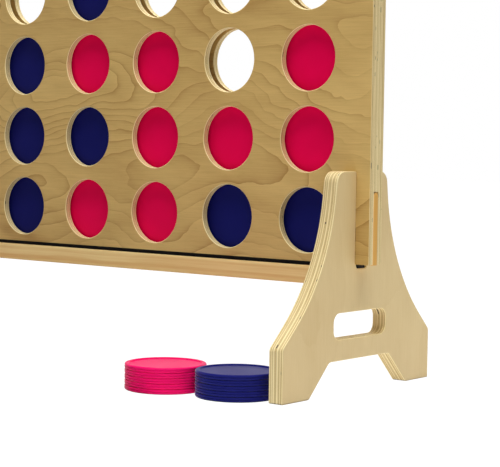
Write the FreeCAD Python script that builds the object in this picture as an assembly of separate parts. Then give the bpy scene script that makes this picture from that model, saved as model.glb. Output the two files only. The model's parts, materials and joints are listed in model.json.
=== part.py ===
import FreeCAD, Part
import math
import os

# Giant four in a row: a lift-off board of seven columns by six rows between two plywood legs,
# two bottom rails, a black release slider that holds the discs up, and the discs themselves.
# Millimetres. +X runs along the board to the right, +Y away from the players' front, +Z up.
# Origin: middle of the footprint, on the ground.

Vec = FreeCAD.Vector

# ---- driving dimensions: discs and grid ----
COLUMNS = 7
ROWS = 6
ROW_PITCH = 120.0            # discs stand on each other, so this is a disc and its running gap
DISC_GAP = 0.4               # free gap between two discs in a column
DISC_R = (ROW_PITCH - DISC_GAP) / 2
DISC_T = 7.7
DISC_RIM = 6.4               # width of the raised rim
DISC_RECESS = 2.0            # depth of the face inside the rim
DISC_EDGE_ROUND = 2.2        # rounding of the disc's edge, so a dark line shows between two discs
DISC_OVER_SLIDER = 0.3       # free gap below the lowest disc of a column
COLUMN_PITCH = 151.5
COLUMN_WIDTH = 122.0         # inside width of a column
WINDOW_R = 49.0
WINDOW_EDGE_R = 1.6          # eased edge of every window on the panel's outer face

# ---- driving dimensions: board ----
PANEL_T = 10.5
GAP_T = 11.0                 # dividers and spacers keep the panels this far apart
BOARD_T = 2 * PANEL_T + GAP_T
END_MARGIN = 114.7           # last column's centre line to the board's end
BOTTOM_MARGIN = 60.9         # lowest windows' centres to the panels' bottom edge
TOP_MARGIN = 72.5            # highest windows' centres to the panels' top edge
BOARD_CORNER_R = 15.0
DIVIDER_DROP = 4.0           # dividers stop this far below the top edge
DIVIDER_TOP_R = 10.0

# ---- driving dimensions: legs and rails ----
LEG_T = 24.0
LEG_OUTER = 91.6             # last column's centre line to the leg's outer face
LEG_HALF = 185.5             # half of the leg's depth on the ground
ARM_TOP = 320.4
ARM_HALF = 62.3
ARM_R = 18.0
WAIST_HALF = 78.2            # where the arm's side and the foot's slope would meet
WAIST_Z = 179.6
WAIST_R = 305.0
FOOT_CORNER_Z = 76.0
FOOT_CORNER_R = 9.0
FOOT_TOE_R = 2.0
FOOT_INNER = 123.6           # half of the arch's width on the ground
FOOT_HEEL_R = 6.0
ARCH_HALF = 75.4
ARCH_Z = 48.2
ARCH_R = 12.0
LEG_EDGE_R = 1.2             # softened edges of the legs' faces
SLOT_CLEAR = 0.5             # each side of the board in the leg's slot
SLOT_MOUTH_R = 1.5
BOARD_BOTTOM = 185.6         # the slots' shoulders, which the panels stand on
GROOVE_HALF = 13.2           # slider groove below the shoulders
GROOVE_R = 4.4
HAND_HALF = 66.0
HAND_LOW = 78.6
HAND_HIGH = 117.1
HAND_R = 14.0
RAIL_H = 27.0
RAIL_TOP = 179.3
RAIL_EDGE_R = 1.5            # eased long edges of the rails' outer faces
DOWEL_R = 3.0
DOWEL_LEG = 12.0             # dowel length in the leg
DOWEL_RAIL = 18.0            # dowel length in the rail
DOWEL_EDGE = 8.0             # dowel's centre from the rail's top or bottom

# ---- driving dimensions: release slider and its grip ----
SLIDER_T = 5.4
SLIDER_HALF = 8.8
SLIDER_END = 1.0             # slider ends this far inside the legs' outer faces
GRIP_T = 10.4
GRIP_H = 105.8
GRIP_RECESS = 0.2            # grip stands this far inside the board's end
GRIP_ON_SLIDER = 20.0        # length of grip that is fixed on the slider
GRIP_NOTCH_CLEAR = 0.8

# ---- driving dimensions: panel screws, put in from the back ----
SCREW_R = 2.0
SCREW_HEAD_R = 4.0
SCREW_HEAD_H = 2.4
SCREW_BITE = 6.5             # screw length in the front panel
SCREWS_PER_BAR = 3
SCREW_END_MARGIN = 60.0
CROSS_LENGTH = 4.4
CROSS_WIDTH = 0.9
CROSS_DEPTH = 1.3

# ---- driving dimensions: discs off the board ----
PINK_STACK = (331.0, 185.0)  # centre: along the board, and in front of its middle plane
NAVY_STACK = (450.2, 166.2)
STACK_COUNT = 5
SPARE_COUNT = 6

# Discs in the board, column by column from the left, lowest first.
GAME = [
    ["navy", "pink"],
    ["navy", "pink", "navy"],
    ["navy", "navy", "navy"],
    ["pink", "navy", "pink", "navy"],
    ["pink", "pink", "pink"],
    ["navy", "pink"],
    ["navy", "pink", "pink"],
]

# ---- derived places ----
LAST_X = (COLUMNS - 1) / 2 * COLUMN_PITCH
BOARD_HALF = LAST_X + END_MARGIN
LEG_OUT_X = LAST_X + LEG_OUTER
LEG_IN_X = LEG_OUT_X - LEG_T
BOARD_TOP = BOARD_BOTTOM + BOTTOM_MARGIN + (ROWS - 1) * ROW_PITCH + TOP_MARGIN
FIRST_ROW_Z = BOARD_BOTTOM + BOTTOM_MARGIN
SLIDER_TOP = RAIL_TOP + SLIDER_T
LOWEST_DISC_Z = SLIDER_TOP + DISC_OVER_SLIDER + DISC_R
DIVIDER_W = COLUMN_PITCH - COLUMN_WIDTH
FRONT_REACH = PINK_STACK[1] + DISC_R
MID_Y = (FRONT_REACH - LEG_HALF) / 2     # middle plane of the board and legs
FRONT_Y = MID_Y - BOARD_T / 2
BACK_Y = MID_Y + BOARD_T / 2


def column_x(column):
    """Centre line of a column, counted 0 to 6 from the left."""
    return column * COLUMN_PITCH - LAST_X


def rounded_wire(corners, plane):
    """Closed outline through (a, b, radius) corners; plane turns (a, b) into a vector."""
    count = len(corners)
    ends = []
    for i in range(count):
        before = Vec(*corners[i - 1][:2], 0)
        here = Vec(*corners[i][:2], 0)
        after = Vec(*corners[(i + 1) % count][:2], 0)
        radius = corners[i][2]
        back = (before - here).normalize()
        on = (after - here).normalize()
        half = back.getAngle(on) / 2
        if radius == 0:
            ends.append((here, None, here))
            continue
        reach = radius / math.tan(half)
        middle = (back + on).normalize() * (radius / math.sin(half) - radius)
        ends.append((here + back * reach, here + middle, here + on * reach))
    edges = []
    for i, (start, middle, end) in enumerate(ends):
        if middle is not None:
            arc = Part.Arc(*[plane(p.x, p.y) for p in (start, middle, end)])
            edges.append(arc.toShape())
        following = ends[(i + 1) % count][0]
        edges.append(Part.makeLine(plane(end.x, end.y), plane(following.x, following.y)))
    return Part.Wire(edges)


def in_leg_plane(y, z):
    return Vec(0, MID_Y + y, z)


def in_board_plane(x, z):
    return Vec(x, 0, z)


def bar(x0, x1, y0, y1, z0, z1):
    """Square-edged bar between two corners."""
    return Part.makeBox(x1 - x0, y1 - y0, z1 - z0, Vec(x0, y0, z0))


def soften(solid, radius, at_faces):
    """Round the edges that lie in the solid's flat faces at the given X places."""
    picked = []
    for edge in solid.Edges:
        low = edge.BoundBox.XMin
        high = edge.BoundBox.XMax
        if high - low < 0.01 and any(abs(low - x) < 0.01 for x in at_faces):
            picked.append(edge)
    return solid.makeFillet(radius, picked)


def in_face_y(edge, y):
    """Whether the whole edge lies in the flat face at this Y."""
    box = edge.BoundBox
    return abs(box.YMin - y) < 0.01 and abs(box.YMax - y) < 0.01


# ---- stand: legs, rails, dowels ----
def rail_places():
    """Front and back rails' low, high and outer Y, in line with the panels above them."""
    return {
        "front_rail": (FRONT_Y, FRONT_Y + PANEL_T, FRONT_Y),
        "back_rail": (BACK_Y - PANEL_T, BACK_Y, BACK_Y),
    }


def dowel_places():
    """Centres (y, z) of the dowels at each end of the two rails."""
    heights = (RAIL_TOP - RAIL_H + DOWEL_EDGE, RAIL_TOP - DOWEL_EDGE)
    return [((low + high) / 2, z) for low, high, _ in rail_places().values() for z in heights]


def dowels(side):
    """The four dowels between the rails and one leg; side is -1 or +1."""
    start = side * (LEG_IN_X - DOWEL_RAIL)
    length = DOWEL_LEG + DOWEL_RAIL
    return [Part.makeCylinder(DOWEL_R, length, Vec(start, y, z), Vec(side, 0, 0)) for y, z in dowel_places()]


def leg_outline():
    slot_half = BOARD_T / 2 + SLOT_CLEAR
    half = [
        (GROOVE_HALF, RAIL_TOP, GROOVE_R),
        (GROOVE_HALF, BOARD_BOTTOM, 0),
        (slot_half, BOARD_BOTTOM, 0),
        (slot_half, ARM_TOP, SLOT_MOUTH_R),
        (ARM_HALF, ARM_TOP, ARM_R),
        (WAIST_HALF, WAIST_Z, WAIST_R),
        (LEG_HALF, FOOT_CORNER_Z, FOOT_CORNER_R),
        (LEG_HALF, 0, FOOT_TOE_R),
        (FOOT_INNER, 0, FOOT_HEEL_R),
        (ARCH_HALF, ARCH_Z, ARCH_R),
    ]
    other = [(-y, z, radius) for y, z, radius in reversed(half)]
    return rounded_wire(half + other, in_leg_plane)


def hand_hole():
    corners = [(-HAND_HALF, HAND_LOW), (HAND_HALF, HAND_LOW), (HAND_HALF, HAND_HIGH), (-HAND_HALF, HAND_HIGH)]
    return rounded_wire([(y, z, HAND_R) for y, z in corners], in_leg_plane)


def leg(side):
    """One leg, with the board's slot, the slider's groove, the hand hole and the rails' dowel holes."""
    face = Part.Face([leg_outline(), hand_hole()])
    solid = face.extrude(Vec(LEG_T, 0, 0))
    solid = soften(solid, LEG_EDGE_R, (0, LEG_T))
    solid.translate(Vec(LEG_IN_X if side > 0 else -LEG_OUT_X, 0, 0))
    return solid.cut(Part.makeCompound(dowels(side)))


def rail(low_y, high_y, outer_y):
    """Rail between the legs, with the long edges of its outer face eased."""
    solid = bar(-LEG_IN_X, LEG_IN_X, low_y, high_y, RAIL_TOP - RAIL_H, RAIL_TOP)
    long_edges = [edge for edge in solid.Edges if in_face_y(edge, outer_y) and edge.Length > RAIL_H + 1]
    solid = solid.makeFillet(RAIL_EDGE_R, long_edges)
    return solid.cut(Part.makeCompound(dowels(-1) + dowels(1)))


# ---- board: panels, dividers, spacers, screws ----
def bar_places():
    """Low and high X of every upright between the panels, ends first and last."""
    half = COLUMN_WIDTH / 2
    edges = [-BOARD_HALF]
    for column in range(COLUMNS):
        edges += [column_x(column) - half, column_x(column) + half]
    edges.append(BOARD_HALF)
    return list(zip(edges[0::2], edges[1::2]))


def screw_places():
    """Centres (x, z) of the screws: a row of them up the middle of every upright."""
    low = BOARD_BOTTOM + SCREW_END_MARGIN
    step = (BOARD_TOP - BOARD_BOTTOM - 2 * SCREW_END_MARGIN) / (SCREWS_PER_BAR - 1)
    places = []
    for number, (x0, x1) in enumerate(bar_places()):
        x = (x0 + x1) / 2
        if number == 0:
            x = x1 - DIVIDER_W / 2
        if number == COLUMNS:
            x = x0 + DIVIDER_W / 2
        places += [(x, low + step * i) for i in range(SCREWS_PER_BAR)]
    # the lowest screw of the right-hand end stands above the grip's notch
    last = len(places) - SCREWS_PER_BAR
    places[last] = (places[last][0], SLIDER_TOP + GRIP_H + SCREW_END_MARGIN / 2)
    return places


def screw_shank(x, z):
    length = BACK_Y - FRONT_Y - PANEL_T + SCREW_BITE
    return Part.makeCylinder(SCREW_R, length, Vec(x, BACK_Y, z), Vec(0, -1, 0))


def screw_head(x, z):
    return Part.makeCone(SCREW_HEAD_R, SCREW_R, SCREW_HEAD_H, Vec(x, BACK_Y, z), Vec(0, -1, 0))


def screw(x, z):
    solid = screw_shank(x, z).fuse(screw_head(x, z)).removeSplitter()
    long_half = CROSS_LENGTH / 2
    short_half = CROSS_WIDTH / 2
    low_y = BACK_Y - CROSS_DEPTH
    across = bar(x - long_half, x + long_half, low_y, BACK_Y, z - short_half, z + short_half)
    upright = bar(x - short_half, x + short_half, low_y, BACK_Y, z - long_half, z + long_half)
    return solid.cut(across.fuse(upright))


def panel(front_y, outer_y):
    """A panel with a round window over every place in the grid, eased on its outer face."""
    outline = rounded_wire([
        (-BOARD_HALF, BOARD_BOTTOM, 0),
        (BOARD_HALF, BOARD_BOTTOM, 0),
        (BOARD_HALF, BOARD_TOP, BOARD_CORNER_R),
        (-BOARD_HALF, BOARD_TOP, BOARD_CORNER_R),
    ], in_board_plane)
    wires = [outline]
    for column in range(COLUMNS):
        for row in range(ROWS):
            centre = in_board_plane(column_x(column), FIRST_ROW_Z + row * ROW_PITCH)
            wires.append(Part.Wire(Part.makeCircle(WINDOW_R, centre, Vec(0, 1, 0))))
    solid = Part.makeFace(wires, "Part::FaceMakerBullseye").extrude(Vec(0, PANEL_T, 0))
    solid.translate(Vec(0, front_y, 0))
    rings = [edge for edge in solid.Edges if in_face_y(edge, outer_y) and edge.Closed]
    return solid.makeFillet(WINDOW_EDGE_R, rings)


def screw_cutters():
    pieces = [screw_shank(x, z) for x, z in screw_places()]
    pieces += [screw_head(x, z) for x, z in screw_places()]
    return Part.makeCompound(pieces)


def divider(x0, x1):
    """Upright between two columns, with a rounded top that leads a disc in."""
    top = BOARD_TOP - DIVIDER_DROP
    outline = rounded_wire([
        (x0, BOARD_BOTTOM, 0),
        (x1, BOARD_BOTTOM, 0),
        (x1, top, DIVIDER_TOP_R),
        (x0, top, DIVIDER_TOP_R),
    ], in_board_plane)
    solid = Part.Face(outline).extrude(Vec(0, GAP_T, 0))
    solid.translate(Vec(0, FRONT_Y + PANEL_T, 0))
    return solid.cut(screw_cutters())


def end_spacer(x0, x1):
    """Upright that closes an end of the board, with the board's own outer top corner."""
    outer_is_left = x0 < 0
    outline = rounded_wire([
        (x0, BOARD_BOTTOM, 0),
        (x1, BOARD_BOTTOM, 0),
        (x1, BOARD_TOP, DIVIDER_TOP_R if outer_is_left else BOARD_CORNER_R),
        (x0, BOARD_TOP, BOARD_CORNER_R if outer_is_left else DIVIDER_TOP_R),
    ], in_board_plane)
    solid = Part.Face(outline).extrude(Vec(0, GAP_T, 0))
    solid.translate(Vec(0, FRONT_Y + PANEL_T, 0))
    return solid.cut(screw_cutters())


def grip_notch():
    """Room in the right-hand spacer for the slider's grip, open to the end and below."""
    low_x = grip_span()[0] - GRIP_NOTCH_CLEAR
    high_z = SLIDER_TOP + GRIP_H + GRIP_NOTCH_CLEAR
    return bar(low_x, BOARD_HALF + 1, FRONT_Y, BACK_Y, BOARD_BOTTOM - 1, high_z)


# ---- release slider and grip ----
def slider():
    end = LEG_OUT_X - SLIDER_END
    return bar(-end, end, MID_Y - SLIDER_HALF, MID_Y + SLIDER_HALF, RAIL_TOP, SLIDER_TOP)


def grip_span():
    """Low and high X of the grip."""
    return LEG_OUT_X - SLIDER_END - GRIP_ON_SLIDER, BOARD_HALF - GRIP_RECESS


def slider_grip():
    """Upright grip on the slider's right-hand end, between the panels, with a rounded top."""
    x0, x1 = grip_span()
    half = GRIP_T / 2
    top_r = half - 0.1
    outline = rounded_wire([
        (-half, SLIDER_TOP, 0),
        (half, SLIDER_TOP, 0),
        (half, SLIDER_TOP + GRIP_H, top_r),
        (-half, SLIDER_TOP + GRIP_H, top_r),
    ], in_leg_plane)
    solid = Part.Face(outline).extrude(Vec(x1 - x0, 0, 0))
    solid.translate(Vec(x0, 0, 0))
    return solid


# ---- discs ----
def disc():
    """Disc about the Z axis, bottom at zero: raised rims, recessed faces, rounded edge."""
    inner = DISC_R - DISC_RIM
    face = DISC_RECESS
    soft = DISC_EDGE_ROUND
    corner = soft * (1 - math.sqrt(0.5))
    slope = DISC_RECESS / 2                      # the rim's inner wall leans by this much
    lower = [
        Part.makeLine(Vec(0, 0, face), Vec(inner - slope, 0, face)),
        Part.makeLine(Vec(inner - slope, 0, face), Vec(inner, 0, 0)),
        Part.makeLine(Vec(inner, 0, 0), Vec(DISC_R - soft, 0, 0)),
        Part.Arc(Vec(DISC_R - soft, 0, 0), Vec(DISC_R - corner, 0, corner), Vec(DISC_R, 0, soft)).toShape(),
        Part.makeLine(Vec(DISC_R, 0, soft), Vec(DISC_R, 0, DISC_T / 2)),
        Part.makeLine(Vec(DISC_R, 0, DISC_T / 2), Vec(0, 0, DISC_T / 2)),
        Part.makeLine(Vec(0, 0, DISC_T / 2), Vec(0, 0, face)),
    ]
    half = Part.Face(Part.Wire(lower)).revolve(Vec(0, 0, 0), Vec(0, 0, 1), 360)
    other = half.mirror(Vec(0, 0, DISC_T / 2), Vec(0, 0, 1))
    return half.fuse(other).removeSplitter()


def standing_disc(column, row):
    """Disc on its edge in the board, between the panels."""
    solid = disc()
    solid.translate(Vec(0, 0, -DISC_T / 2))
    solid.rotate(Vec(0, 0, 0), Vec(1, 0, 0), 90)
    solid.translate(Vec(column_x(column), MID_Y, LOWEST_DISC_Z + row * ROW_PITCH))
    return solid


def lying_disc(centre, level):
    """Disc lying in a stack on the ground; level 0 is the lowest."""
    solid = disc()
    solid.translate(Vec(centre[0], MID_Y - centre[1], level * DISC_T))
    return solid


def build():
    """Every sub-part's shape, by node name."""
    nodes = {"left_leg": leg(-1), "right_leg": leg(1)}
    for name, place in rail_places().items():
        nodes[name] = rail(*place)
    nodes["rail_dowels"] = Part.makeCompound(dowels(-1) + dowels(1))
    nodes["release_slider"] = slider()
    nodes["slider_grip"] = slider_grip()

    holes = screw_cutters()
    nodes["front_panel"] = panel(FRONT_Y, FRONT_Y).cut(holes)
    nodes["back_panel"] = panel(BACK_Y - PANEL_T, BACK_Y).cut(holes)
    bars = bar_places()
    nodes["left_end_spacer"] = end_spacer(*bars[0])
    nodes["right_end_spacer"] = end_spacer(*bars[-1]).cut(grip_notch())
    for number, (x0, x1) in enumerate(bars[1:-1], start=1):
        nodes["column_divider_%d" % number] = divider(x0, x1)
    nodes["panel_screws"] = Part.makeCompound([screw(x, z) for x, z in screw_places()])

    for column, colours in enumerate(GAME):
        for row, colour in enumerate(colours):
            name = "%s_disc_c%d_r%d" % (colour, column + 1, row + 1)
            nodes[name] = standing_disc(column, row)
    for colour, centre in (("pink", PINK_STACK), ("navy", NAVY_STACK)):
        for level in range(STACK_COUNT):
            nodes["%s_stack_disc_%d" % (colour, level + 1)] = lying_disc(centre, level)
        mirrored = (-centre[0], centre[1])
        spares = [lying_disc(mirrored, level) for level in range(SPARE_COUNT)]
        nodes["%s_spare_discs" % colour] = Part.makeCompound(spares)
    return nodes


os.makedirs("parts", exist_ok=True)
for node_name, node_shape in build().items():
    node_shape.exportStep("parts/%s.step" % node_name)
    print("%-24s %3d solid(s) %10.1f cm3" % (node_name, len(node_shape.Solids), node_shape.Volume / 1000))
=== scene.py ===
"""Giant four in a row: materials, moulded discs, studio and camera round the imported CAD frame."""
import json
import math
import random

import bmesh
import bpy
from mathutils import Matrix, Vector


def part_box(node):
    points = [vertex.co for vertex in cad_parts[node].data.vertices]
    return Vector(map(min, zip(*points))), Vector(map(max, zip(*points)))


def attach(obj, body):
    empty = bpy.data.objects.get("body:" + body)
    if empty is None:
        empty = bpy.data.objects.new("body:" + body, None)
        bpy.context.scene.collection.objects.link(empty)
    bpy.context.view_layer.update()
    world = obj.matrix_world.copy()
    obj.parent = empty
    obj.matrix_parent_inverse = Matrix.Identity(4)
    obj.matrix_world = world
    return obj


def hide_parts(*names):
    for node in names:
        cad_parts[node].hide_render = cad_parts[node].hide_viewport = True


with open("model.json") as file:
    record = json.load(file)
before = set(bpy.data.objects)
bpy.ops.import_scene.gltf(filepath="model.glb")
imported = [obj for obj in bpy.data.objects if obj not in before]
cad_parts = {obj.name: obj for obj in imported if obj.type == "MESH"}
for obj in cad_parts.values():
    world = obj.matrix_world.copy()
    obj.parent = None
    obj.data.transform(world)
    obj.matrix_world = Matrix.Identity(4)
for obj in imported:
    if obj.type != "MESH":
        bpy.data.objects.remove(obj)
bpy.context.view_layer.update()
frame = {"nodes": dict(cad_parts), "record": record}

NODES = frame["nodes"]
MM = 0.001


# ---------------------------------------------------------------- places read from the frame
def size_of(node):
    low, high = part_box(node)
    return high - low


def centre_of(node):
    low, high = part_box(node)
    return (low + high) / 2


DISC_NODES = sorted(name for name in NODES if "_disc" in name)
DISC_THICK = size_of("pink_stack_disc_1").z
ROW_1_HEIGHT = 60.9 * MM      # lowest windows' centres above the panels' bottom edge
PANEL_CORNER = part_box("front_panel")[0]
LAST_COLUMN = centre_of(next(name for name in DISC_NODES if name.endswith("_c7_r1"))).x
WINDOW_7_1 = Vector((LAST_COLUMN, PANEL_CORNER.y, PANEL_CORNER.z + ROW_1_HEIGHT))


# ---------------------------------------------------------------- shader helper
class Graph:
    """Adds and links the shader nodes of one material."""

    def __init__(self, name):
        self.material = bpy.data.materials.new(name)
        self.material.use_nodes = True
        self.tree = self.material.node_tree
        self.tree.nodes.clear()
        self.shader = self.tree.nodes.new("ShaderNodeBsdfPrincipled")
        output = self.tree.nodes.new("ShaderNodeOutputMaterial")
        self.tree.links.new(self.shader.outputs["BSDF"], output.inputs["Surface"])
        coordinates = self.tree.nodes.new("ShaderNodeTexCoord")
        self.place = coordinates.outputs["Object"]
        self.normal = coordinates.outputs["Normal"]
        self.axis = dict(zip("xyz", self.split(self.place)))

    def put(self, socket, source):
        if isinstance(source, bpy.types.NodeSocket):
            self.tree.links.new(source, socket)
        else:
            socket.default_value = source

    def split(self, vector):
        node = self.tree.nodes.new("ShaderNodeSeparateXYZ")
        self.put(node.inputs[0], vector)
        return node.outputs[0], node.outputs[1], node.outputs[2]

    def vector(self, x, y, z):
        node = self.tree.nodes.new("ShaderNodeCombineXYZ")
        for socket, source in zip(node.inputs, (x, y, z)):
            self.put(socket, source)
        return node.outputs[0]

    def math(self, operation, *sources, clamp=False):
        node = self.tree.nodes.new("ShaderNodeMath")
        node.operation = operation
        node.use_clamp = clamp
        for socket, source in zip(node.inputs, sources):
            self.put(socket, source)
        return node.outputs[0]

    def add(self, a, b):
        return self.math("ADD", a, b)

    def times(self, a, b):
        return self.math("MULTIPLY", a, b)

    def range(self, source, low, high, to_low=0.0, to_high=1.0, smooth=False):
        """Maps low..high to to_low..to_high, clamped."""
        node = self.tree.nodes.new("ShaderNodeMapRange")
        node.interpolation_type = "SMOOTHSTEP" if smooth else "LINEAR"
        for socket, value in zip(node.inputs, (source, low, high, to_low, to_high)):
            self.put(socket, value)
        return node.outputs[0]

    def swing(self, source, amount, low=0.3, high=0.7):
        """Maps the usual span of a noise to -amount..amount."""
        return self.range(source, low, high, -amount, amount)

    def noise(self, vector, scale=1.0, detail=2.0, roughness=0.5):
        node = self.tree.nodes.new("ShaderNodeTexNoise")
        self.put(node.inputs["Vector"], vector)
        self.put(node.inputs["Scale"], scale)
        self.put(node.inputs["Detail"], detail)
        self.put(node.inputs["Roughness"], roughness)
        return node.outputs["Fac"]

    def streaks(self, along, across, seed, lengthwise, crosswise, detail, roughness=0.5):
        """Noise with its own frequency along and across, in cycles per metre."""
        place = self.vector(self.times(along, lengthwise), self.times(across, crosswise), seed)
        return self.noise(place, 1.0, detail, roughness)

    def mix(self, factor, a, b):
        node = self.tree.nodes.new("ShaderNodeMix")
        node.data_type = "RGBA"
        self.put(node.inputs[0], factor)
        self.put(node.inputs[6], a)
        self.put(node.inputs[7], b)
        return node.outputs[2]

    def bump(self, height, distance):
        """Surface relief; distance is its depth in metres."""
        node = self.tree.nodes.new("ShaderNodeBump")
        self.put(node.inputs["Height"], height)
        self.put(node.inputs["Distance"], distance)
        self.put(node.inputs["Strength"], 0.5)
        self.put(self.shader.inputs["Normal"], node.outputs[0])

    def veil(self, weight, roughness):
        """Whitish bloom at glancing angles."""
        self.shader.inputs["Sheen Weight"].default_value = weight
        self.shader.inputs["Sheen Roughness"].default_value = roughness

    def finish(self, colour, roughness, specular):
        """Fills the main sockets and gives the material."""
        self.put(self.shader.inputs["Base Color"], colour)
        self.put(self.shader.inputs["Roughness"], roughness)
        self.put(self.shader.inputs["Specular IOR Level"], specular)
        return self.material


def paint(red, green, blue):
    """A base colour from linear values."""
    return (red, green, blue, 1.0)


# ---------------------------------------------------------------- wood
# Each wood is a light and a dark colour.
HONEY = [paint(0.725, 0.500, 0.175), paint(0.350, 0.185, 0.040)]
CREAM = [paint(0.755, 0.590, 0.310), paint(0.61, 0.435, 0.195)]
RAIL_WOOD = [paint(0.97, 0.735, 0.33), paint(0.77, 0.44, 0.145)]
GRIP_WOOD = [paint(0.84, 0.47, 0.105), paint(0.52, 0.24, 0.04)]
DOWEL_WOOD = [paint(0.66, 0.50, 0.28), paint(0.5, 0.34, 0.16)]
EDGE_PALE = paint(0.94, 0.80, 0.44)
EDGE_BROWN = paint(0.47, 0.29, 0.085)
GLUE = paint(0.20, 0.10, 0.030)
VOID = paint(0.03, 0.014, 0.006)
PANEL_FIGURE = (27.0, 10.0, 0.60)      # contour lines, their drift across the grain, their strength
LEG_FIGURE = (6.0, 5.0, 0.14)
BAR_FIGURE = (6.0, 9.0, 0.26)
PANEL_PLIES = 7
LEG_PLIES = 11
WOOD_RELIEF = 0.12 * MM
WOOD_SPECULAR = 0.35


def veneer(g, along, across, seed, light, dark, figure):
    """Rotary-cut face: contour lines of a slow field, soft flames, fine fibres and pores."""
    rings, slope, contrast = figure
    bend = g.streaks(along, across, g.add(seed, 33.0), 11.0, 17.0, 2.0)
    run = g.add(along, g.times(bend, 0.060))
    wide = g.add(across, g.times(bend, 0.036))
    field = g.streaks(run, wide, seed, 2.0, 4.8, 1.1, 0.42)
    fine = g.streaks(along, across, g.add(seed, 3.0), 26.0, 95.0, 3.0, 0.6)
    height = g.add(g.add(g.times(field, rings), g.times(wide, slope)), g.times(fine, 0.13))
    saw = g.math("FRACT", height)
    thin = g.math("POWER", saw, 9.0)
    broad = g.math("POWER", saw, 2.4)
    pale = g.math("POWER", g.math("SUBTRACT", 1.0, saw), 7.0)
    lines = g.add(g.times(thin, 0.55), g.add(g.times(broad, 0.35), g.times(pale, -0.16)))
    where = g.streaks(along, across, g.add(seed, 15.0), 4.0, 9.0, 1.0)
    lines = g.times(lines, g.range(where, 0.36, 0.62, 0.30, 1.0, smooth=True))
    slanted = g.add(g.times(along, 9.0), g.times(across, 13.0))
    flame = g.streaks(slanted, across, g.add(seed, 21.0), 1.0, 21.0, 2.0, 0.55)
    fibre = g.streaks(along, across, g.add(seed, 7.0), 14.0, 520.0, 3.0, 0.65)
    stain = g.streaks(along, across, g.add(seed, 11.0), 2.6, 6.0, 3.0, 0.55)
    pore = g.streaks(along, across, g.add(seed, 27.0), 85.0, 1300.0, 1.0)
    amount = g.add(g.times(lines, contrast), g.swing(fibre, 0.10))
    amount = g.add(amount, g.swing(stain, 0.17, 0.25, 0.75))
    amount = g.add(amount, g.swing(flame, 0.12))
    amount = g.add(amount, g.range(pore, 0.64, 0.78, 0.0, 0.22))
    colour = g.mix(g.math("ADD", amount, 0.33, clamp=True), light, dark)
    return colour, fibre


def ply_edge(g, share, through, along, plies, seed):
    """Edge of a plywood sheet: uneven long-grain and end-grain plies, glue lines and small voids.

    share runs from 0 to 1 through the sheet."""
    wander = g.noise(g.vector(g.times(along, 9.0), 0.0, seed), 1.0, 2.0, 0.5)
    uneven = g.math("SINE", g.add(g.times(share, 7.4), seed))
    depth = g.times(g.add(share, g.times(uneven, 0.055)), plies)
    depth = g.add(depth, g.swing(wander, 0.10))
    inside = g.math("FRACT", depth)
    layer = g.math("FLOOR", depth)
    cross = g.times(g.math("FRACT", g.times(layer, 0.5)), 2.0)      # 1 on every second ply
    tone = g.streaks(layer, along, seed + 5.0, 3.7, 1.5, 0.0)
    pores = g.streaks(along, through, seed, 1100.0, 1100.0, 2.0, 0.7)
    strand = g.streaks(along, through, seed, 22.0, 1500.0, 2.0, 0.6)
    patch = g.streaks(along, layer, seed + 8.0, 12.0, 2.1, 2.0)
    body = g.add(g.times(cross, 0.50), g.swing(tone, 0.16))
    body = g.add(body, g.times(cross, g.swing(pores, 0.14, 0.35, 0.65)))
    body = g.add(body, g.swing(strand, 0.10))
    body = g.add(body, g.range(patch, 0.3, 0.7, -0.10, 0.12))
    colour = g.mix(g.math("ADD", body, 0.10, clamp=True), EDGE_PALE, EDGE_BROWN)
    off_middle = g.math("ABSOLUTE", g.math("SUBTRACT", inside, 0.5))
    seam = g.range(off_middle, 0.40, 0.49, 0.0, 0.9, smooth=True)
    seam = g.times(seam, g.range(patch, 0.35, 0.6, 0.35, 1.0))
    colour = g.mix(seam, colour, GLUE)
    gaps = g.streaks(along, layer, seed + 9.0, 60.0, 3.3, 1.0)
    middle = g.range(off_middle, 0.18, 0.40, 1.0, 0.0, smooth=True)
    void = g.times(g.times(g.range(gaps, 0.67, 0.69), middle), cross)
    return g.mix(void, colour, VOID), pores


def plywood(node, face, figure, thick_axis, grain_axis, plies, seed):
    """Plywood: veneer in the two face colours on both faces, plies on every edge."""
    g = Graph(node + "_ply")
    across_axis = next(axis for axis in "xyz" if axis not in (thick_axis, grain_axis))
    along, across, through = g.axis[grain_axis], g.axis[across_axis], g.axis[thick_axis]
    side = dict(zip("xyz", g.split(g.normal)))[thick_axis]
    shifted = g.range(side, -1.0, 1.0, seed + 40.0, seed)      # the two faces differ
    face_colour, fibre = veneer(g, along, across, shifted, *face, figure)
    low = getattr(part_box(node)[0], thick_axis)
    share = g.times(g.math("SUBTRACT", through, low), 1.0 / getattr(size_of(node), thick_axis))
    edge_colour, pores = ply_edge(g, share, through, g.add(along, across), plies, seed)
    is_face = g.range(g.math("ABSOLUTE", side), 0.80, 0.92, smooth=True)
    colour = g.mix(is_face, edge_colour, face_colour)
    roughness = g.range(fibre, 0.2, 0.8, 0.40, 0.52)
    roughness = g.add(roughness, g.range(is_face, 0.0, 1.0, 0.14, 0.0))
    g.bump(g.add(g.times(fibre, 0.6), g.times(pores, 0.5)), WOOD_RELIEF)
    return g.finish(colour, roughness, WOOD_SPECULAR)


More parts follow.
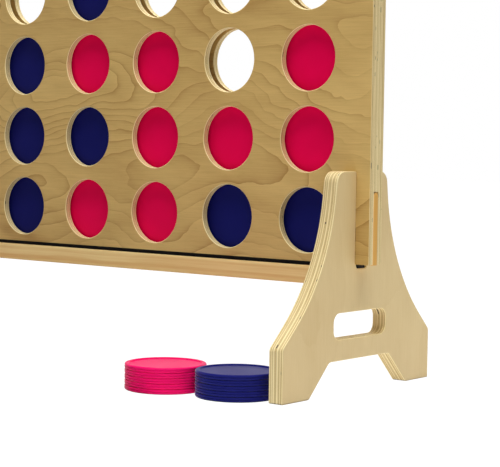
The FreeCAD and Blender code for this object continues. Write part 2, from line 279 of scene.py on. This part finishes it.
def solid_wood(name, colours, grain_axis, seed):
    """Planed solid wood with straight grain along one axis."""
    g = Graph(name)
    others = [axis for axis in "xyz" if axis != grain_axis]
    along = g.axis[grain_axis]
    bend = g.noise(g.vector(g.times(along, 2.2), 0.0, seed), 1.0, 2.0, 0.5)
    a = g.add(g.axis[others[0]], g.times(bend, 0.012))
    b = g.add(g.axis[others[1]], g.times(bend, 0.018))
    rings = g.noise(g.vector(g.times(along, 0.9), g.times(a, 130.0), g.times(b, 150.0)), 1.0, 1.0, 0.4)
    fibre = g.noise(g.vector(g.times(along, 18.0), g.times(a, 800.0), g.times(b, 800.0)), 1.0, 3.0, 0.6)
    amount = g.add(g.range(rings, 0.35, 0.65, 0.0, 0.7), g.swing(fibre, 0.12))
    colour = g.mix(g.math("ADD", amount, 0.12, clamp=True), *colours)
    g.bump(fibre, WOOD_RELIEF)
    return g.finish(colour, g.range(fibre, 0.2, 0.8, 0.42, 0.56), WOOD_SPECULAR)


# ---------------------------------------------------------------- plastic and metal
PLASTIC_RELIEF = 0.04 * MM
STEEL_RELIEF = 0.03 * MM
SATIN = (0.36, 0.44)          # lowest and highest roughness
MATT = (0.55, 0.65)


def moulded_plastic(name, base, deep, roughness, specular, bloom):
    """Moulded plastic: faint flow marks, fine grained surface and small handling scuffs."""
    g = Graph(name)
    flow = g.noise(g.place, 22.0, 3.0, 0.5)
    grain = g.noise(g.place, 1600.0, 2.0, 0.6)
    drawn = g.vector(g.times(g.axis["x"], 420.0), g.axis["y"], g.times(g.axis["z"], 34.0))
    scuff = g.noise(drawn, 1.0, 3.0, 0.7)
    marks = g.range(scuff, 0.60, 0.72)
    colour = g.mix(g.range(flow, 0.3, 0.7), base, deep)
    rough = g.add(g.range(flow, 0.3, 0.7, *roughness), g.times(marks, 0.10))
    g.bump(grain, PLASTIC_RELIEF)
    g.veil(bloom, 0.25)
    return g.finish(colour, rough, specular)


def zinc_steel(name):
    """Zinc-plated steel, brushed and a little mottled."""
    g = Graph(name)
    drawn = g.vector(g.times(g.axis["x"], 2500.0), g.axis["y"], g.times(g.axis["z"], 300.0))
    brushed = g.noise(drawn, 1.0, 2.0)
    patch = g.noise(g.place, 260.0, 2.0)
    colour = g.mix(g.range(patch, 0.35, 0.65), paint(0.62, 0.61, 0.56), paint(0.46, 0.45, 0.40))
    g.shader.inputs["Metallic"].default_value = 1.0
    g.bump(brushed, STEEL_RELIEF)
    return g.finish(colour, g.range(brushed, 0.3, 0.7, 0.30, 0.45), 0.5)


def wear(node, material):
    """Puts one material on a CAD node."""
    slots = NODES[node].data.materials
    slots.clear()
    slots.append(material)


def dress_frame():
    """Materials of every CAD node but the discs."""
    for node, seed in (("front_panel", 2.0), ("back_panel", 19.0)):
        wear(node, plywood(node, HONEY, PANEL_FIGURE, "y", "x", PANEL_PLIES, seed))
    for node, seed in (("left_leg", 31.0), ("right_leg", 43.0)):
        wear(node, plywood(node, CREAM, LEG_FIGURE, "x", "z", LEG_PLIES, seed))
    uprights = [name for name in NODES if name.startswith("column_divider") or name.endswith("_end_spacer")]
    for number, node in enumerate(sorted(uprights)):
        wear(node, plywood(node, CREAM, BAR_FIGURE, "y", "z", PANEL_PLIES, 60.0 + number))
    for node, seed in (("front_rail", 5.0), ("back_rail", 6.0)):
        wear(node, solid_wood(node + "_wood", RAIL_WOOD, "x", seed))
    wear("slider_grip", solid_wood("grip_wood", GRIP_WOOD, "z", 9.0))
    wear("rail_dowels", solid_wood("dowel_wood", DOWEL_WOOD, "x", 13.0))
    black, worn_black = paint(0.004, 0.004, 0.004), paint(0.007, 0.006, 0.006)
    wear("release_slider", moulded_plastic("slider_black", black, worn_black, MATT, 0.10, 0.0))
    wear("panel_screws", zinc_steel("zinc_steel"))


# ---------------------------------------------------------------- discs
DISC_SEGMENTS = 96
RIM_WIDTH = 6.4 * MM
RIM_ROUND = 2.5 * MM          # outer rounding of the rim, top and bottom
SEAM_HALF = 0.7 * MM          # half width of the seam round the disc's edge
SEAM_DEPTH = 0.9 * MM
RIM_INNER_ROUND = 1.3 * MM
FACE_DEPTH = 2.0 * MM         # face below the rim


def quarter(centre_r, centre_h, radius, start, end, steps=5):
    """Points (radius from the axis, height) on an arc, angles in degrees."""
    points = []
    for i in range(steps + 1):
        angle = math.radians(start + (end - start) * i / steps)
        points.append((centre_r + radius * math.cos(angle), centre_h + radius * math.sin(angle)))
    return points


def disc_profile(radius, thick):
    """Half outline of a disc above its middle plane, from the axis outwards."""
    top = thick / 2
    face = top - FACE_DEPTH
    inner = radius - RIM_WIDTH
    points = [(inner * share, face) for share in (0.25, 0.5, 0.75, 0.93)]
    points += quarter(inner - 0.8 * MM, face + 0.6 * MM, 0.6 * MM, -90, -10, 3)
    points += quarter(inner + RIM_INNER_ROUND, top - RIM_INNER_ROUND, RIM_INNER_ROUND, 170, 90, 4)
    points += quarter(radius - RIM_ROUND, top - RIM_ROUND, RIM_ROUND, 90, 0, 6)
    points.append((radius, SEAM_HALF * 1.4))
    points.append((radius - SEAM_DEPTH * 0.2, SEAM_HALF))
    points.append((radius - SEAM_DEPTH, SEAM_HALF * 0.3))
    return points


def disc_mesh(name, radius, thick):
    """Moulded disc about the Z axis, middle plane at zero."""
    upper = disc_profile(radius, thick)
    lower = [(r, -h) for r, h in reversed(upper)]
    outline = upper + lower
    build = bmesh.new()
    rings = []
    for r, h in outline:
        ring = []
        for i in range(DISC_SEGMENTS):
            angle = math.tau * i / DISC_SEGMENTS
            ring.append(build.verts.new((r * math.cos(angle), r * math.sin(angle), h)))
        rings.append(ring)
    for ring, following in zip(rings, rings[1:]):
        for i in range(DISC_SEGMENTS):
            j = (i + 1) % DISC_SEGMENTS
            build.faces.new((ring[i], following[i], following[j], ring[j]))
    for ring, height in ((rings[0], outline[0][1]), (rings[-1], outline[-1][1])):
        middle = build.verts.new((0, 0, height))
        for i in range(DISC_SEGMENTS):
            build.faces.new((middle, ring[i], ring[(i + 1) % DISC_SEGMENTS]))
    bmesh.ops.recalc_face_normals(build, faces=build.faces)
    mesh = bpy.data.meshes.new(name)
    build.to_mesh(mesh)
    build.free()
    mesh.shade_smooth()
    return mesh


def body_of_node(node):
    bodies = frame["record"]["behaviour"]["bodies"]
    return next(body for body, members in bodies.items() if node in members)


def add_disc(name, node, place, material):
    """One moulded disc that stands for (part of) a CAD node."""
    low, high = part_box(node)
    radius = (high - low).z / 2 if "_disc_c" in node else (high - low).y / 2
    mesh = disc_mesh(name, radius, DISC_THICK)
    mesh.transform(place)
    mesh.materials.append(material)
    piece = bpy.data.objects.new(name, mesh)
    bpy.context.scene.collection.objects.link(piece)
    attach(piece, body_of_node(node))
    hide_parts(node)


DISC_COLOURS = {                # start of a node's name: material, base and deeper colour
    "pink_disc": ("pink_plastic", paint(0.90, 0.0006, 0.084), paint(0.85, 0.0005, 0.076)),
    "navy_disc": ("navy_plastic", paint(0.0060, 0.0075, 0.118), paint(0.0050, 0.0062, 0.102)),
    # The stacked discs are the same plastic as the discs in the board. They are painted lighter and bluer
    # to stand in for the stronger light and glancing reflections on the stacks: painted light.
    "pink_s": ("pink_plastic_stacked_painted_lit", paint(0.97, 0.0070, 0.165), paint(0.93, 0.0055, 0.150)),
    "navy_s": ("navy_plastic_stacked_painted_lit", paint(0.0120, 0.0145, 0.165), paint(0.0100, 0.0120, 0.148)),
}
PLASTIC_SPECULAR = 0.05
PLASTIC_BLOOM = 0.6


def add_discs():
    """Moulded discs in place of all CAD discs, each turned at random about its axis."""
    plastics = {}
    for start, (name, base, deep) in DISC_COLOURS.items():
        plastics[start] = moulded_plastic(name, base, deep, SATIN, PLASTIC_SPECULAR, PLASTIC_BLOOM)
    rng = random.Random(4)
    for node in DISC_NODES:
        material = next(plastic for start, plastic in plastics.items() if node.startswith(start))
        low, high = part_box(node)
        middle = (low + high) / 2
        turn = Matrix.Rotation(rng.uniform(0, math.tau), 4, "Z")
        if "_disc_c" in node:
            upright = Matrix.Rotation(math.pi / 2, 4, "X")
            add_disc(node + "_moulded", node, Matrix.Translation(middle) @ upright @ turn, material)
            continue
        count = round((high - low).z / DISC_THICK)
        for level in range(count):
            centre = Vector((middle.x, middle.y, low.z + (level + 0.5) * DISC_THICK))
            name = node + "_moulded" if count == 1 else "%s_moulded_%d" % (node, level + 1)
            add_disc(name, node, Matrix.Translation(centre) @ turn, material)


# ---------------------------------------------------------------- studio
def soft_light(name, place, aim, width, height, power):
    """Rectangular light that the camera does not see; sizes in metres, power in watts."""
    data = bpy.data.lights.new(name, "AREA")
    data.shape = "RECTANGLE"
    data.size, data.size_y = width, height
    data.energy = power
    lamp = bpy.data.objects.new(name, data)
    lamp.location = place
    lamp.rotation_euler = (Vector(aim) - Vector(place)).to_track_quat("-Z", "Y").to_euler()
    lamp.visible_camera = False
    bpy.context.scene.collection.objects.link(lamp)


FLOOR_REACH = 12.0
FLOOR_GREYS = [paint(0.57, 0.57, 0.57), paint(0.55, 0.55, 0.55)]
FLOOR_SHINE = 1.16            # strength of the white that the camera sees
FLOOR_WHITE = 0.88            # its share; the rest takes the light and shadows
WORLD_LIT = 0.02
LIGHTS = (                    # name, place, aim, width, height, watts
    ("top_front", (0.5, -0.40, 2.7), (0.5, -0.399, 0.0), 2.4, 2.0, 100),
    ("top_back", (0.3, 0.9, 2.5), (0.3, 0.899, 0.0), 2.0, 1.0, 36),
    ("top_right", (1.9, -0.2, 2.3), (1.899, -0.2, 0.0), 1.0, 1.6, 5),
    ("card_right", (1.05, 0.0, 0.001), (1.05, 0.001, 1.0), 1.4, 0.9, 2.4),
    ("card_front", (0.4, -0.75, 0.001), (0.4, -0.749, 1.0), 1.6, 0.8, 2.2),
    ("card_foot", (0.74, 0.0, 0.001), (0.74, 0.001, 1.0), 0.5, 0.3, 0.75),
)


def studio_floor():
    """Plain white sweep: white to the eye with a faint trace of the shadows, pale to the light."""
    mesh = bpy.data.meshes.new("floor")
    corners = [(x * FLOOR_REACH, y * FLOOR_REACH, 0) for x, y in ((-1, -1), (1, -1), (1, 1), (-1, 1))]
    mesh.from_pydata(corners, [], [(0, 1, 2, 3)])
    floor = bpy.data.objects.new("floor", mesh)
    bpy.context.scene.collection.objects.link(floor)
    g = Graph("floor_white")
    mesh.materials.append(g.finish(g.mix(g.noise(g.place, 3.0, 2.0), *FLOOR_GREYS), 0.9, 0.1))
    shine = g.tree.nodes.new("ShaderNodeEmission")
    shine.inputs["Strength"].default_value = FLOOR_SHINE
    path = g.tree.nodes.new("ShaderNodeLightPath")
    either = g.tree.nodes.new("ShaderNodeMixShader")
    g.put(either.inputs[0], g.times(path.outputs["Is Camera Ray"], FLOOR_WHITE))
    g.put(either.inputs[1], g.shader.outputs["BSDF"])
    g.put(either.inputs[2], shine.outputs[0])
    output = next(node for node in g.tree.nodes if node.type == "OUTPUT_MATERIAL")
    g.put(output.inputs["Surface"], either.outputs[0])


def studio_world():
    """White backdrop: it hardly lights the piece, and shows in glancing reflections."""
    world = bpy.data.worlds.new("studio")
    world.use_nodes = True
    tree = world.node_tree
    tree.nodes.clear()
    path = tree.nodes.new("ShaderNodeLightPath")
    seen = tree.nodes.new("ShaderNodeMath")
    seen.operation = "MAXIMUM"
    tree.links.new(path.outputs["Is Camera Ray"], seen.inputs[0])
    tree.links.new(path.outputs["Is Glossy Ray"], seen.inputs[1])
    strength = tree.nodes.new("ShaderNodeMath")
    strength.operation = "MAXIMUM"
    strength.inputs[1].default_value = WORLD_LIT
    tree.links.new(seen.outputs[0], strength.inputs[0])
    backdrop = tree.nodes.new("ShaderNodeBackground")
    backdrop.inputs["Color"].default_value = (1, 1, 1, 1)
    tree.links.new(strength.outputs[0], backdrop.inputs["Strength"])
    output = tree.nodes.new("ShaderNodeOutputWorld")
    tree.links.new(backdrop.outputs[0], output.inputs["Surface"])
    bpy.context.scene.world = world


def studio():
    """Floor, backdrop, lights and plain colour settings."""
    studio_floor()
    studio_world()
    for light in LIGHTS:
        soft_light(*light)
    settings = bpy.context.scene.view_settings
    settings.view_transform = "Standard"
    settings.look = "None"


# ---------------------------------------------------------------- camera
SENSOR = 36.0                 # millimetres
LENS = 113.26                 # millimetres
SHIFT_X = 0.0012              # of the picture's width
SHIFT_Y = -0.0006
YAW = math.radians(38.726)    # turned from +Y towards -X
PITCH = math.radians(3.257)   # looking down
ROLL = math.radians(0.825)
FROM_WINDOW = Vector((1.3950, -1.8719, 0.1119))   # from the lowest right-hand window's front


def add_camera():
    """Camera placed from the window and turned by yaw, pitch and roll."""
    data = bpy.data.cameras.new("camera")
    data.lens = LENS
    data.sensor_width = SENSOR
    data.shift_x = SHIFT_X
    data.shift_y = SHIFT_Y
    ahead = Vector((-math.sin(YAW) * math.cos(PITCH), math.cos(YAW) * math.cos(PITCH), -math.sin(PITCH)))
    level = Vector((math.cos(YAW), math.sin(YAW), 0.0))
    above = level.cross(ahead)
    right = level * math.cos(ROLL) + above * math.sin(ROLL)
    up = above * math.cos(ROLL) - level * math.sin(ROLL)
    camera = bpy.data.objects.new("camera", data)
    turn = Matrix((right, up, -ahead)).transposed().to_4x4()
    camera.matrix_world = Matrix.Translation(WINDOW_7_1 + FROM_WINDOW) @ turn
    bpy.context.scene.collection.objects.link(camera)
    bpy.context.scene.camera = camera


add_camera()
dress_frame()
add_discs()
studio()
